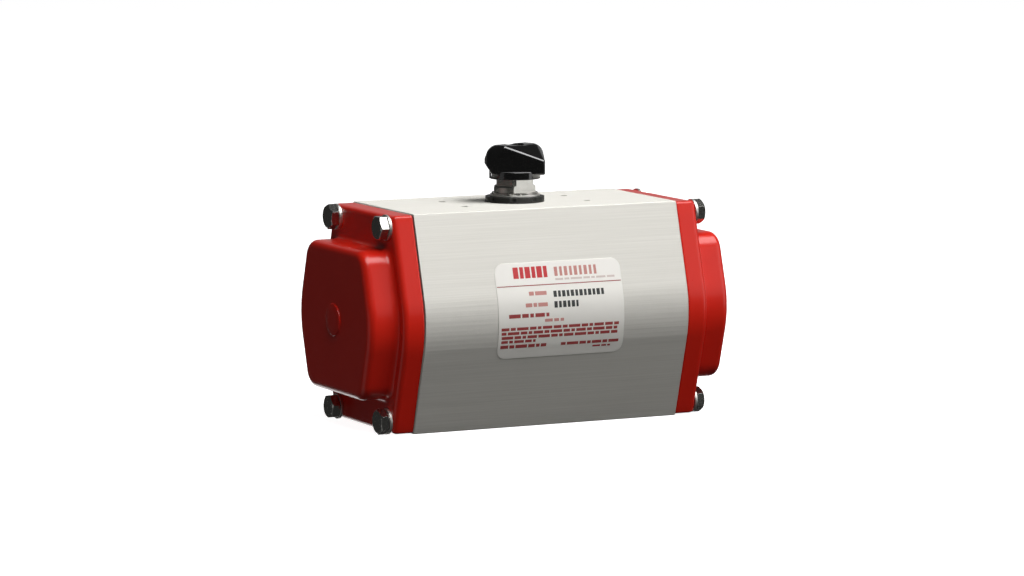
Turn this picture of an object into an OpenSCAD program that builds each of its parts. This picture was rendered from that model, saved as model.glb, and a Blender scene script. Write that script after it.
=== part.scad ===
// Rotary pneumatic actuator: two opposed pistons whose racks turn one pinion through a quarter turn.
// The origin is the centre of the bottom mounting face, on the pinion's axis.
// X runs along the bore, -Y is the front with the label, +Y the back with the air ports, +Z is up.

/* [Body] */
// Height of the body, mounting face to top face
body_h = 127; // [126:0.5:130]
// Length of the body between the end caps
body_l = 171; // [170:1:180]
// Radius of the rounded long sides
side_r = 57.5; // [57:0.5:60]
// Tilt of the flat facets above and below the rounded sides
facet_tilt = 16.5; // [14:0.5:18]
// Diameter of the cylinder bore
bore_d = 92; // [92:0.1:92.4]
// Distance of the air connection pad from the bore's axis
pad_y = 60; // [59.5:0.5:61]

/* [End caps] */
// Thickness of the cap's flange
flange_t = 13; // [12:0.5:14]
// How far the cap's outline is set in from the body's
cap_inset = 0.6; // [0.4:0.1:1]
// Height of the dome over the flange
dome_t = 18.3; // [17:0.1:20]
// Half width of the dome at mid height
dome_r = 49.7; // [48:0.1:51]
// Half height of the dome
dome_hz = 43.3; // [42:0.1:44]
// Radius of the dome's outer edge
dome_edge = 4.5; // [3:0.5:6]
// Distance of the cap bolts from the middle plane, across the body
bolt_y = 34.2; // [33.5:0.1:35]
// Distance of the cap bolts from the bore's axis, up and down
bolt_z = 55.9; // [55.5:0.1:56]

/* [Pinion and racks] */
// Module of the teeth
gear_m = 2; // [2:0.01:2.02]
// Number of teeth on the pinion
gear_z = 18; // [18:1:18]
// Face width of the pinion's teeth
gear_w = 28; // [26:1:30]
// Angle that the pinion has turned from its clockwise stop
rest_turn = 17; // [0:1:20]
// Radius of the shaft where it leaves the top of the body
shaft_r = 12.25; // [12:0.05:12.4]
// Height of the shaft's square end over the top face
shaft_out = 20; // [18:0.5:20]
// Size across the flats of the square end and of the star-shaped socket
square_af = 17; // [16:0.5:17]
// Depth of the star-shaped socket
socket_depth = 19; // [17:1:22]

/* [Pistons] */
// Thickness of a piston's head
head_t = 20; // [18:1:20]
// Distance from the pinion's axis to a head's inner face at the clockwise stop
head_in = 36.7; // [36.5:0.1:37]

/* [Travel stops] */
// Distance of each stop screw from the pinion's axis, along the bore
stop_x = 23; // [22.5:0.5:23.5]
// Depth of the stop screws below the bore's axis
stop_z = 26; // [25.5:0.5:26.5]
// Distance from the pinion's axis to the stop faces of the cam
stop_face = 12; // [11.5:0.5:12.5]

/* [Indicator] */
// Length of the indicator's grip
knob_l = 34.4; // [32:0.2:36]
// Width of the indicator's grip
knob_w = 23.6; // [23:0.1:25]
// Height of the indicator's top over the top face
knob_top = 33.7; // [33:0.1:36]
// How far the grip's nose falls away below its top
nose_drop = 8.3; // [7:0.1:10]
// Turn of the indicator's grip from the bore's axis
knob_turn = -23; // [-60:1:60]

/* [Label] */
// Width of the label plate
label_w = 81.2; // [70:0.1:90]
// Height of the label plate above the bore's axis
label_up = 33.4; // [30:0.1:35]
// Height of the label plate below the bore's axis
label_down = 21.4; // [18:0.1:25]
// Thickness of the label plate
label_t = 0.2; // [0.15:0.05:0.5]

/* [Hidden] */
$fn = 96;
eps = 0.01;                               // overrun of a cut past the face that it opens
gap = 0.05;                               // running clearance between turning or sliding faces

// Body section
zc = body_h / 2;                          // height of the bore's axis
hz = body_h / 2;
bore_r = bore_d / 2;
half_l = body_l / 2;
edge_c = 0.6;                             // chamfer round the body's ends
body_corner = 0.8;                        // radius of the body's long edges
cap_corner = 2;                           // radius of the flange's corners
flange_edge = 3.2;                        // radius of the flange's outer edge
dome_corner = 11.7;                       // corner radius of the dome's outline
dome_tilt = facet_tilt + 0.5;
dome_flare = 3;                           // width of the dome's flared foot
dome_foot_t = 0.4;
cap_top = half_l + flange_t;
dome_top = cap_top + dome_t;
boss_r = 9.3;
boss_t = 0.9;
pad_hz = 17;                              // half height of the connection pad's flat
pad_root_y = 47;
cavity_r = 44;                            // hollow of the cap inside its flange, then inside its dome
cavity_t = 8;
dome_cavity_r = 36;
dome_wall = 5.5;

// Fasteners: radii are those of plain cylinders that stand for the threads
hex_chamfer = 0.35;                       // how far a hexagon's end circle is inside its flats
hex_slope = 8;
m8_r = 4;
m8_head_af = 13;
m8_head_h = 5.3;
m8_washer_r = 7.5;
m8_washer_t = 1.6;
m8_length = 30;
m8_hole_r = 4.3;
m8_tap_depth = 22;
m8_face_t = 0.4;                          // round washer face under each head
left_turns = [30, 4, 0, 20];              // turn of each hex head, front top, back top, then below
right_turns = [2, 14, -3, 9];
m10_r = 5;
m5_tap_r = 2.1;
m5_tap_depth = 9;

// Drilling patterns: valve bolts on two pitch circles, accessory bolts on the top face
f07_pitch_r = 35;
f07_tap_r = 3.4;
f07_tap_depth = 13;
f05_pitch_r = 25;
f05_tap_r = 2.5;
f05_tap_depth = 9;
top_bolt_x = 40;
top_bolt_y = 15;

// Pinion, from the bottom up
pitch_r = gear_m * gear_z / 2;
base_r = pitch_r * cos(20);
tip_r = pitch_r + gear_m;
root_r = pitch_r - 1.25 * gear_m;
rack_pitch = PI * gear_m;
backlash = 0.12;                          // taken half off each tooth, at the pitch line
involute_0 = tan(20) * 180 / PI - 20;
base_half = 90 / gear_z - backlash / 4 / pitch_r * 180 / PI + involute_0;
foot_r = tip_r + 0.1;                     // land in the body's lower hole
lower_hole_r = foot_r + 0.1;
journal_r = 17.5;
core_r = root_r - 0.2;
foot_z = 0.6;
journal_z = 8;
lower_bearing = [8.3, 16];                // bottom and top of the lower bearing
cam_t = 10;
cam_z = [zc - stop_z - cam_t / 2, zc - stop_z + cam_t / 2];
cam_af = 33.2;                            // size across the flats of the cam's eight-sided seat
flange_z = [104, 108.4];
land_r = 14.45;
upper_hole_r = 14.55;
washer_seat_r = 18;
thrust_washer_r = 17.8;
land_z = 116.4;
seat_z = 110;                             // ceiling of the thrust washer's recess
upper_bearing = [117, 126.4];
shoulder_z = body_h + 9.7;                // top of the round part of the shaft
shoulder_c = 0.6;
square_r = 10.8;                          // round corners of the square end
square_c = 1;
flat_cut = 30;                            // size of the block that cuts each flat
deep_flat_z = body_h + 5.7;
flat_z = body_h + 8.6;
shaft_top = body_h + shaft_out;
oring_low = [2.8, 6, 17.6];               // bottom, top and inner radius of the lower groove
oring_up = [111.5, 114.3, 12.3];
collar_t = 3.2;
collar_r = 17.35;
collar_bore_r = shaft_r + 0.35;
notch_r = 2.2;                            // eight spanner notches round the collar
notch_up = 1.2;
washer_z = body_h + collar_t + gap;
washer_t = 1.2;
washer_r = 14.6;
ring_z = washer_z + washer_t + gap;
ring_t = 1;
ring_groove_r = 11.45;
ring_r = 13.6;
ring_open = 7;                            // half the angle of the snap ring's gap
lug_r = 1.5;
lug_at = 13.2;
lug_turn = 12;
lug_hole_r = 0.6;

// Pistons at rest
turned = pitch_r * rest_turn * PI / 180;  // travel made since the clockwise stop
head_x = head_in + turned;
head_out = head_x + head_t;
head_r = bore_r - 0.3;
arm_end = head_in - 1.2 - turned;
arm_y = [pitch_r + 1.25 * gear_m, 39];
arm_hz = 13;
rack_teeth = [-3:4];                      // one tooth stands at the pinion's axis, at 0
wear_pad_y = 37.5;                        // bottom of the wear pad's seat in the arm
wear_pad_l = 22;
wear_pad_w = 19;
wear_pad_end = 4;
hub_pocket_r = 13;                        // hollows in the head's outer face
ring_pocket_r = 8;
ring_pocket_at = 28;
pocket_depth = 10;
slide_r = bore_r - 0.07;                  // outside of everything that slides on the bore
oring_x = [2.5, 7.1];                     // O-ring groove, measured from the head's outer face
band_x = [10, 16];
oring_groove_r = 42.2;
band_groove_r = 44;

// Air connections
port_x = 12;
port_r = 5.9;
passage_r = 3;
plate_seat_y = 49;                        // milled face under the port plate
plate_hx = 30;                            // half length and half height of the port plate
plate_hz = 15.5;
gasket_t = 0.5;
gallery_hz = 11.5;                         // height of the gallery behind the open port
gallery_depth = 1.6;
valve_bolt_x = 16;
valve_bolt_z = 12;
plate_screw_x = 25;
plate_screw_z = 11;
plate_screw_r = 2;
plate_screw_l = 12;
plate_head_r = 3.5;
plate_head_t = 4;
plate_head_deep = 0.4;
plate_hole_r = 2.3;
plate_sink_r = 3.7;
plate_key_af = 3;
plate_key_depth = 2;
channel_r = 2;
feed_r = 1.8;
channel_d = 49.4;                         // distance of the long air channel from the bore's axis
channel_a = 35;                           // its angle above the horizontal
air_slot_depth = 3;                       // slot in the cap from the channel to the cavity
air_slot_in = 40;

// Travel stops
spot_y = 50;                              // machined face under each stop screw's washer
spot_r = 10.2;
stop_tip_r = 4;
stop_tip_l = 8.5;
stop_end = 60.5;
stop_key_af = 5;
stop_key_depth = 6;
stop_washer_r = 8.6;
stop_washer_bore_r = 5.3;
stop_washer_t = 1.6;
stop_nut_af = 17;
stop_nut_t = 5;
stop_nut_turn = 15;
seal_depth = 1.8;
seal_seat_r = 7.2;
stop_seal_wire = 1.05;
lobe_r = 30;
lobe_back = 8;
cam_hub_r = 20.5;

// Cap seals
seal_r = 53.4;
seal_wire = 1.3;
seal_groove = 2;

// Indicator
skirt_r = 15;
skirt_z = body_h + 13.5;
skirt_t = 4.6;
grip_z = skirt_z + 2.7;
grip_edge = 1.2;                          // radius of the grip's edges
grip_end = 7;                             // radius of its two high corners
grip_lift = 4.5;                          // height and length of the cut under the grip's tail
grip_cut = 3;
ridge_x = 6.6;                            // where the sloping ridge meets the top
knob_z = body_h + knob_top;
screw_r = 3;
screw_head_r = 5;
screw_head_t = 5;
screw_sink = 6;                           // depth of the screw head's seat below the grip's top
screw_l = 12;
screw_hole_r = 3.3;
screw_seat_r = 5.6;
screw_tap_depth = 16;
screw_key_af = 5;
screw_key_depth = 3;

// Label
label_x = 1.9;
label_corner = 5.5;

// ---- outlines -------------------------------------------------------------------------------

// Quarter of the six-sided section with round sides: side arc, then corner arc
function quarter(r, h, tilt, corner) =
    let (cz = h - corner, cy = (r - corner - cz * sin(tilt)) / cos(tilt))
    concat([for (i = [0:6]) r * [cos(tilt * i / 6), sin(tilt * i / 6)]],
           [for (i = [0:6]) let (t = tilt + (90 - tilt) * i / 6)
               [cy, cz] + corner * [cos(t), sin(t)]]);

function flip(pts, fy, fz) = [for (i = [len(pts) - 1:-1:0]) [fy * pts[i][0], fz * pts[i][1]]];

// Whole section, drawn in the Y-Z plane about the bore's axis; inset shrinks it all round
module section(r, h, tilt, corner, inset = 0) {
    q = quarter(r - inset, h - inset, tilt, max(corner - inset, 0.3));
    top = concat(q, flip(q, -1, 1));
    polygon(concat(top, [for (p = top) -p]));
}

// Runs a Y-Z outline along X from x0 to x1
module along_x(x0, x1) {
    translate([x0, 0, zc]) rotate([90, 0, 90]) linear_extrude(x1 - x0) children();
}

// Round bar or hole along X, off the bore's axis by y and z
module bar_x(r, x0, x1, y = 0, z = 0) {
    translate([x0, y, zc + z]) rotate([0, 90, 0]) cylinder(r = r, h = x1 - x0);
}

// Round bar or hole along Y
module bar_y(r, y0, y1, x = 0, z = 0) {
    translate([x, y0, zc + z]) rotate([-90, 0, 0]) cylinder(r = r, h = y1 - y0);
}

module ring_z(inner, outer, z0, z1) {
    difference() {
        translate([0, 0, z0]) cylinder(r = outer, h = z1 - z0);
        translate([0, 0, z0 - 1]) cylinder(r = inner, h = z1 - z0 + 2);
    }
}

// Hexagonal prism with one end chamfered, as a bolt head or a nut has
module hexagon(af, h) intersection() {
    cylinder(d = af / cos(30), h = h, $fn = 6);
    cylinder(r1 = af / 2 + hex_slope, r2 = af / 2 - hex_chamfer, h = h);
}

module body_section(inset = 0) section(side_r, hz, facet_tilt, body_corner, inset);

module flange_section(inset = 0)
    section(side_r - cap_inset, hz - cap_inset, facet_tilt, cap_corner, inset);

module dome_section(inset = 0) section(dome_r, dome_hz, dome_tilt, dome_corner, inset);

// Places its children at the four bolts of a cap, front top, back top, front bottom, back bottom
module at_cap_bolts(turns = [0, 0, 0, 0])
    for (i = [0:3])
        translate([0, (i % 2 * 2 - 1) * bolt_y, zc + (i < 2 ? 1 : -1) * bolt_z])
            rotate([turns[i], 0, 0]) children();

module both_ends() for (s = [0, 1]) mirror([s, 0, 0]) children();

// ---- body and caps ---------------------------------------------------------------------------

// Milled seat of the port plate and what is drilled from it
module air_holes() {
    translate([-plate_hx - gap, plate_seat_y, zc - plate_hz - gap])
        cube([2 * (plate_hx + gap), pad_y, plate_hz + gap + hz / 2]);
    bar_y(passage_r, bore_r - passage_r, pad_y, -port_x);
    at_plate_screws() rotate([90, 0, 0]) cylinder(r = plate_screw_r, h = pad_y - bore_r);
    far = channel_d * [cos(channel_a), sin(channel_a)];
    near = [plate_seat_y + 1, gallery_hz];
    run = far - near;
    bar_x(channel_r, -half_l - 1, half_l + 1, far[0], far[1]);
    translate([port_x, near[0], zc + near[1]]) rotate([atan2(run[1], run[0]) - 90, 0, 0])
        cylinder(r = feed_r, h = norm(run));
}

// Places its children on the plate's outer face at its four screws
module at_plate_screws()
    for (x = [-1, 1], z = [-1, 1])
        translate([x * plate_screw_x, pad_y, zc + z * plate_screw_z]) children();

module stop_holes() {
    for (x = [-stop_x, stop_x]) {
        bar_y(m10_r + gap, bore_r / 2, spot_y + 1, x, -stop_z);
        bar_y(spot_r, spot_y, pad_y + 1, x, -stop_z);
        bar_y(seal_seat_r, spot_y - seal_depth, spot_y + 1, x, -stop_z);
    }
}

module pinion_holes() {
    translate([0, 0, -1]) cylinder(r = lower_hole_r, h = zc);
    translate([0, 0, zc]) cylinder(r = upper_hole_r, h = zc + 1);
    translate([0, 0, zc]) cylinder(r = washer_seat_r, h = seat_z - zc);
}

module mounting_holes() {
    for (a = [45:90:315]) rotate(a) {
        translate([f07_pitch_r, 0, -1]) cylinder(r = f07_tap_r, h = f07_tap_depth + 1);
        translate([f05_pitch_r, 0, -1]) cylinder(r = f05_tap_r, h = f05_tap_depth + 1);
    }
    for (x = [-top_bolt_x, top_bolt_x], y = [-top_bolt_y, top_bolt_y])
        translate([x, y, body_h - m5_tap_depth]) cylinder(r = m5_tap_r, h = m5_tap_depth + 1);
}

module body_extrusion() color("silver") difference() {
    union() {
        hull() {
            along_x(-half_l + edge_c, half_l - edge_c) body_section();
            along_x(-half_l, half_l) body_section(edge_c);
        }
        along_x(-half_l + edge_c, half_l - edge_c) polygon([
            [pad_root_y, pad_hz + pad_y - pad_root_y], [pad_y, pad_hz],
            [pad_y, -pad_hz], [pad_root_y, -pad_hz - pad_y + pad_root_y]]);
    }
    bar_x(bore_r, -half_l - 1, half_l + 1);
    both_ends() at_cap_bolts() translate([half_l - m8_tap_depth, 0, 0]) rotate([0, 90, 0])
        cylinder(r = m8_r + gap, h = m8_tap_depth + 1);
    air_holes();
    stop_holes();
    pinion_holes();
    mounting_holes();
}

// Cap on the +X end: flange with a round edge, flared dome, boss, and its cavity and holes
module end_cap() {
    difference() {
        union() {
            hull() for (t = [0:22.5:90])
                along_x(half_l, cap_top - flange_edge * (1 - sin(t)))
                    flange_section(flange_edge * (1 - cos(t)));
            hull() {
                along_x(cap_top - 1, cap_top + dome_foot_t) dome_section(-dome_flare);
                along_x(cap_top - 1, cap_top + dome_flare) dome_section();
            }
            hull() for (t = [0:22.5:90])
                along_x(cap_top - 1, dome_top - dome_edge * (1 - sin(t)))
                    dome_section(dome_edge * (1 - cos(t)));
            bar_x(boss_r, dome_top - 1, dome_top + boss_t);
        }
        bar_x(cavity_r, half_l - 1, half_l + cavity_t);
        bar_x(dome_cavity_r, half_l - 1, dome_top - dome_wall);
        at_cap_bolts() translate([half_l - 1, 0, 0]) rotate([0, 90, 0])
            cylinder(r = m8_hole_r, h = flange_t + 2);
        for (s = [-1, 1]) translate([half_l, 0, zc]) rotate([s * channel_a, 0, 0])
            translate([-1, air_slot_in, -channel_r])
                cube([air_slot_depth + 1, channel_d + channel_r - air_slot_in, 2 * channel_r]);
        translate([half_l, 0, zc]) rotate([0, 90, 0])
            ring_z(seal_r - seal_wire, seal_r + seal_wire, -1, seal_groove);
    }
}

// Squeezed seal ring in the groove of the +X cap
module cap_seal() translate([half_l, 0, zc]) rotate([0, 90, 0]) rotate_extrude()
    translate([seal_r, seal_groove / 2]) intersection() {
        circle(r = seal_wire - 0.05, $fn = 24);
        square([4, seal_groove], center = true);
    }

// Hex bolt along +X, its washer face at the origin
module hex_bolt() {
    rotate([0, -90, 0]) cylinder(r = m8_r, h = m8_length);
    rotate([0, 90, 0]) cylinder(r = m8_head_af / 2 - hex_chamfer, h = 1);
    translate([m8_face_t, 0, 0]) rotate([0, 90, 0]) hexagon(m8_head_af, m8_head_h - m8_face_t);
}

module cap_bolts(turns) at_cap_bolts(turns) translate([cap_top + m8_washer_t, 0, 0]) hex_bolt();

module cap_washers() at_cap_bolts() translate([cap_top, 0, 0]) rotate([0, 90, 0])
    ring_z(m8_hole_r, m8_washer_r, 0, m8_washer_t);

module right_end_cap() color("red") end_cap();
module left_end_cap() color("red") mirror([1, 0, 0]) end_cap();
module right_cap_seal() color("black") cap_seal();
module left_cap_seal() color("black") mirror([1, 0, 0]) cap_seal();
module right_cap_bolts() color("gray") cap_bolts(right_turns);
module left_cap_bolts() color("gray") mirror([1, 0, 0]) cap_bolts(left_turns);
module right_cap_washers() color("lightgray") cap_washers();
module left_cap_washers() color("lightgray") mirror([1, 0, 0]) cap_washers();

// ---- pinion and what turns with it -----------------------------------------------------------

// Angle from a tooth's middle to its flank at radius r
function flank(r) = let (a = acos(base_r / r)) base_half - (tan(a) * 180 / PI - a);
function polar(r, a) = r * [cos(a), sin(a)];

module gear_section() {
    side = concat([[root_r, base_half]],
                  [for (i = [0:5]) let (r = base_r + (tip_r - base_r) * i / 5) [r, flank(r)]]);
    polygon([for (k = [0:gear_z - 1]) let (mid = k * 360 / gear_z) each concat(
        [for (p = side) polar(p[0], mid - p[1])],
        [for (i = [len(side) - 1:-1:0]) polar(side[i][0], mid + side[i][1])])]);
}

module shaft_body() {
    translate([0, 0, foot_z]) cylinder(r = foot_r, h = journal_z - foot_z);
    translate([0, 0, journal_z - 1]) cylinder(r = journal_r, h = cam_z[0] - journal_z + 1);
    intersection() {
        translate([0, 0, cam_z[0] - 1]) cylinder(r = journal_r, h = cam_z[1] - cam_z[0] + 1.5);
        rotate(22.5 + rest_turn) translate([0, 0, cam_z[0] - 1])
            cylinder(d = cam_af / cos(22.5), h = cam_z[1] - cam_z[0] + 1.5, $fn = 8);
    }
    translate([0, 0, cam_z[1]]) cylinder(r = core_r, h = flange_z[0] - cam_z[1] + 1);
    translate([0, 0, zc - gear_w / 2]) linear_extrude(gear_w) gear_section();
    translate([0, 0, flange_z[0]]) cylinder(r = journal_r, h = flange_z[1] - flange_z[0]);
    translate([0, 0, flange_z[1] - 1]) cylinder(r = land_r, h = land_z - flange_z[1] + 1);
    translate([0, 0, land_z - 1]) cylinder(r = shaft_r, h = shoulder_z - shoulder_c - land_z + 1);
    translate([0, 0, shoulder_z - shoulder_c])
        cylinder(r1 = shaft_r, r2 = shaft_r - shoulder_c, h = shoulder_c);
    translate([0, 0, shoulder_z - square_c]) cylinder(r = square_r, h = shaft_top - shoulder_z);
    translate([0, 0, shaft_top - square_c])
        cylinder(r1 = square_r, r2 = square_r - square_c, h = square_c);
}

// Two opposite flats from height z0 up
module flats(z0) for (s = [-1, 1])
    translate([s * (square_af + flat_cut) / 2, 0, z0 + flat_cut / 2]) cube(flat_cut, center = true);

module pinion() color("lightsteelblue") difference() {
    shaft_body();
    for (a = [0, 45]) rotate(rest_turn + a) translate([0, 0, foot_z + socket_depth / 2 - 0.5])
        cube([square_af, square_af, socket_depth + 1], center = true);
    ring_z(oring_low[2], foot_r + 1, oring_low[0], oring_low[1]);
    ring_z(oring_up[2], land_r + 1, oring_up[0], oring_up[1]);
    ring_z(ring_groove_r, shaft_r + 1, ring_z, ring_z + ring_t);
    rotate(rest_turn) flats(flat_z);
    rotate(rest_turn + 90) flats(deep_flat_z);
    translate([0, 0, shaft_top - screw_tap_depth])
        cylinder(r = screw_r + gap, h = screw_tap_depth + 1);
}

// Stop lobe: a block inside the lobe's radius, with its stop face at y = stop_face
module lobe() intersection() {
    circle(r = lobe_r);
    translate([-lobe_r, -lobe_back]) square([lobe_r, stop_face + lobe_back]);
}

module stop_cam() color("dimgray") rotate(rest_turn) difference() {
    translate([0, 0, cam_z[0]]) linear_extrude(cam_z[1] - cam_z[0]) union() {
        circle(r = cam_hub_r);
        lobe();
        mirror([1, -1, 0]) lobe();
    }
    rotate(22.5) translate([0, 0, cam_z[0] - 1])
        cylinder(d = (cam_af + 2 * gap) / cos(22.5), h = cam_z[1] - cam_z[0] + 2, $fn = 8);
}

module pinion_upper_bearing() color("ivory")
    ring_z(shaft_r + gap, upper_hole_r, upper_bearing[0], upper_bearing[1]);

module pinion_lower_bearing() color("ivory")
    ring_z(journal_r + gap, lower_hole_r, lower_bearing[0], lower_bearing[1]);

// O-ring that lies in the groove [bottom, top, inner radius] and ends at radius outer
module oring_z(groove, outer) {
    wire = (outer - groove[2]) / 2;
    translate([0, 0, (groove[0] + groove[1]) / 2]) rotate_extrude()
        translate([groove[2] + wire, 0]) circle(r = wire - eps, $fn = 24);
}

module pinion_upper_oring() color("black") oring_z(oring_up, upper_hole_r - gap);
module pinion_lower_oring() color("black") oring_z(oring_low, lower_hole_r - gap);
module thrust_washer() color("ivory")
    ring_z(upper_hole_r, thrust_washer_r, flange_z[1], seat_z - gap);

module top_thrust_collar() color([0.1, 0.1, 0.1]) difference() {
    ring_z(collar_bore_r, collar_r, body_h, body_h + collar_t);
    for (a = [15:45:330]) rotate(a) translate([collar_r + notch_up, 0, body_h + notch_up])
        cylinder(r = notch_r, h = collar_t);
}

module top_washer() color("white")
    ring_z(shaft_r + gap, washer_r, washer_z, washer_z + washer_t);

module snap_ring() color("gainsboro") rotate(rest_turn + 225) difference() {
    union() {
        ring_z(ring_groove_r + gap, ring_r, ring_z + eps, ring_z + ring_t - eps);
        for (s = [-1, 1]) rotate(s * lug_turn) translate([lug_at, 0, ring_z + eps])
            cylinder(r = lug_r, h = ring_t - 2 * eps);
    }
    translate([0, 0, ring_z - 1]) linear_extrude(ring_t + 2)
        polygon([[0, 0], polar(2 * ring_r, -ring_open), polar(2 * ring_r, ring_open)]);
    for (s = [-1, 1]) rotate(s * lug_turn) translate([lug_at, 0, ring_z - 1])
        cylinder(r = lug_hole_r, h = ring_t + 2);
}

// ---- pistons ---------------------------------------------------------------------------------

// Rack teeth point at the pinion; a tooth stands at x = 0 in the rest pose
module rack_section() {
    half = rack_pitch / 4 - backlash / 4;
    for (k = rack_teeth) translate([k * rack_pitch, pitch_r]) polygon([
        [-half + gear_m * tan(20), -gear_m], [half - gear_m * tan(20), -gear_m],
        [half + 1.25 * gear_m * tan(20), 1.25 * gear_m + eps],
        [-half - 1.25 * gear_m * tan(20), 1.25 * gear_m + eps]]);
    translate([-head_x - 1, arm_y[0]]) square([head_x + 1 + arm_end, arm_y[1] - arm_y[0]]);
}

// Piston of the -X side, its rack behind the pinion
module piston() difference() {
    union() {
        bar_x(head_r, -head_out, -head_x);
        translate([0, 0, zc - arm_hz]) linear_extrude(2 * arm_hz) rack_section();
    }
    groove_x(oring_x, oring_groove_r);
    groove_x(band_x, band_groove_r);
    bar_x(hub_pocket_r, -head_out - 1, -head_out + pocket_depth);
    for (a = [0:60:300])
        bar_x(ring_pocket_r, -head_out - 1, -head_out + pocket_depth,
              ring_pocket_at * cos(a), ring_pocket_at * sin(a));
    translate([arm_end - wear_pad_l - wear_pad_end, wear_pad_y, zc - wear_pad_w / 2])
        cube([wear_pad_l, arm_y[1], wear_pad_w]);
}

// Groove round the head, xs measured from its outer face
module groove_x(xs, r) translate([-head_out + xs[0], 0, zc]) rotate([0, 90, 0])
    ring_z(r, head_r + 1, 0, xs[1] - xs[0]);

module piston_oring() {
    wire = (slide_r + 2 * eps - oring_groove_r) / 2;
    translate([-head_out + (oring_x[0] + oring_x[1]) / 2, 0, zc]) rotate([0, 90, 0])
        rotate_extrude() translate([oring_groove_r + wire, 0]) circle(r = wire - eps, $fn = 24);
}

module guide_band() translate([-head_out + band_x[0] + gap, 0, zc]) rotate([0, 90, 0])
    ring_z(band_groove_r + eps, slide_r, 0, band_x[1] - band_x[0] - 2 * gap);

module rack_wear_pad() intersection() {
    translate([arm_end - wear_pad_l - wear_pad_end + gap, wear_pad_y, zc - wear_pad_w / 2 + gap])
        cube([wear_pad_l - 2 * gap, bore_r, wear_pad_w - 2 * gap]);
    bar_x(slide_r, arm_end - bore_r, arm_end);
}

module left_piston() color("darkgray") piston();
module right_piston() color("darkgray") rotate(180) piston();
module left_piston_oring() color("black") piston_oring();
module right_piston_oring() color("black") rotate(180) piston_oring();
module left_guide_band() color("ivory") guide_band();
module right_guide_band() color("ivory") rotate(180) guide_band();
module left_rack_wear_pad() color("ivory") rack_wear_pad();
module right_rack_wear_pad() color("ivory") rotate(180) rack_wear_pad();

// ---- travel stops ----------------------------------------------------------------------------

// Set screw with a dog point, its hex socket outside
module stop_screw(x) difference() {
    union() {
        bar_y(stop_tip_r, stop_face + gap, stop_face + stop_tip_l, x, -stop_z);
        bar_y(m10_r, stop_face + stop_tip_l, stop_end, x, -stop_z);
    }
    translate([x, stop_end - stop_key_depth, zc - stop_z]) rotate([-90, 0, 0])
        cylinder(d = stop_key_af / cos(30), h = stop_key_depth + 1, $fn = 6);
}

module stop_nut(x) translate([x, spot_y + stop_washer_t, zc - stop_z]) rotate([-90, 0, 0])
    difference() {
        rotate(stop_nut_turn) hexagon(stop_nut_af, stop_nut_t);
        translate([0, 0, -1]) cylinder(r = m10_r + gap, h = stop_nut_t + 2);
    }

module stop_washer(x) translate([x, spot_y, zc - stop_z]) rotate([-90, 0, 0])
    ring_z(stop_washer_bore_r, stop_washer_r, 0, stop_washer_t);

module stop_seal(x) translate([x, spot_y - seal_depth / 2, zc - stop_z]) rotate([-90, 0, 0])
    rotate_extrude() translate([(m10_r + seal_seat_r) / 2, 0]) intersection() {
        circle(r = stop_seal_wire, $fn = 24);
        square([2 * seal_seat_r, seal_depth], center = true);
    }

module stop_screw_closed() color("gray") stop_screw(-stop_x);
module stop_screw_open() color("gray") stop_screw(stop_x);
module stop_nut_closed() color("gray") stop_nut(-stop_x);
module stop_nut_open() color("gray") stop_nut(stop_x);
module stop_washer_closed() color("lightgray") stop_washer(-stop_x);
module stop_washer_open() color("lightgray") stop_washer(stop_x);
module stop_seal_closed() color("black") stop_seal(-stop_x);
module stop_seal_open() color("black") stop_seal(stop_x);

// ---- port plate ------------------------------------------------------------------------------

// Flat rectangle of the plate's outline at depth y0 to y1
module plate_slab(y0, y1)
    translate([-plate_hx, y0, zc - plate_hz]) cube([2 * plate_hx, y1 - y0, 2 * plate_hz]);

// What the plate and its gasket share: the passages to the body and the screw holes
module plate_holes(y1) {
    bar_y(passage_r, plate_seat_y - 1, y1, -port_x);
    translate([port_x - passage_r, plate_seat_y - 1, zc - passage_r])
        cube([2 * passage_r, y1 - plate_seat_y + 1, gallery_hz + 2 * passage_r]);
    at_plate_screws() rotate([90, 0, 0]) cylinder(r = plate_hole_r, h = pad_y - bore_r);
}

module air_port_plate() color("silver") difference() {
    plate_slab(plate_seat_y + gasket_t, pad_y);
    plate_holes(plate_seat_y + gasket_t + gallery_depth);
    for (s = [-1, 1])
        bar_y(port_r, plate_seat_y + gasket_t + gallery_depth - eps, pad_y + 1, s * port_x);
    for (x = [-valve_bolt_x, valve_bolt_x], z = [-valve_bolt_z, valve_bolt_z])
        bar_y(m5_tap_r, pad_y - m5_tap_depth, pad_y + 1, x, z);
    at_plate_screws() rotate([90, 0, 0]) translate([0, 0, -1])
        cylinder(r = plate_sink_r, h = plate_head_t + plate_head_deep + 1);
}

module port_plate_gasket() color("black") difference() {
    plate_slab(plate_seat_y, plate_seat_y + gasket_t);
    plate_holes(pad_y);
}

// Socket head screws, sunk just below the plate's face
module port_plate_screws() color("gray") at_plate_screws() rotate([90, 0, 0])
    translate([0, 0, plate_head_deep]) difference() {
        union() {
            cylinder(r = plate_head_r, h = plate_head_t);
            cylinder(r = plate_screw_r - eps, h = plate_screw_l);
        }
        translate([0, 0, -1]) cylinder(d = plate_key_af / cos(30), h = plate_key_depth + 1, $fn = 6);
    }

// ---- indicator and label ---------------------------------------------------------------------

// Ball of radius r that touches the grip's end at s, its side at t and the height z
module grip_corner(s, t, z, r = grip_edge)
    translate([s * (knob_l / 2 - r), t * (knob_w / 2 - r), z]) sphere(r = r, $fn = 20 + 2 * floor(r));

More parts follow.
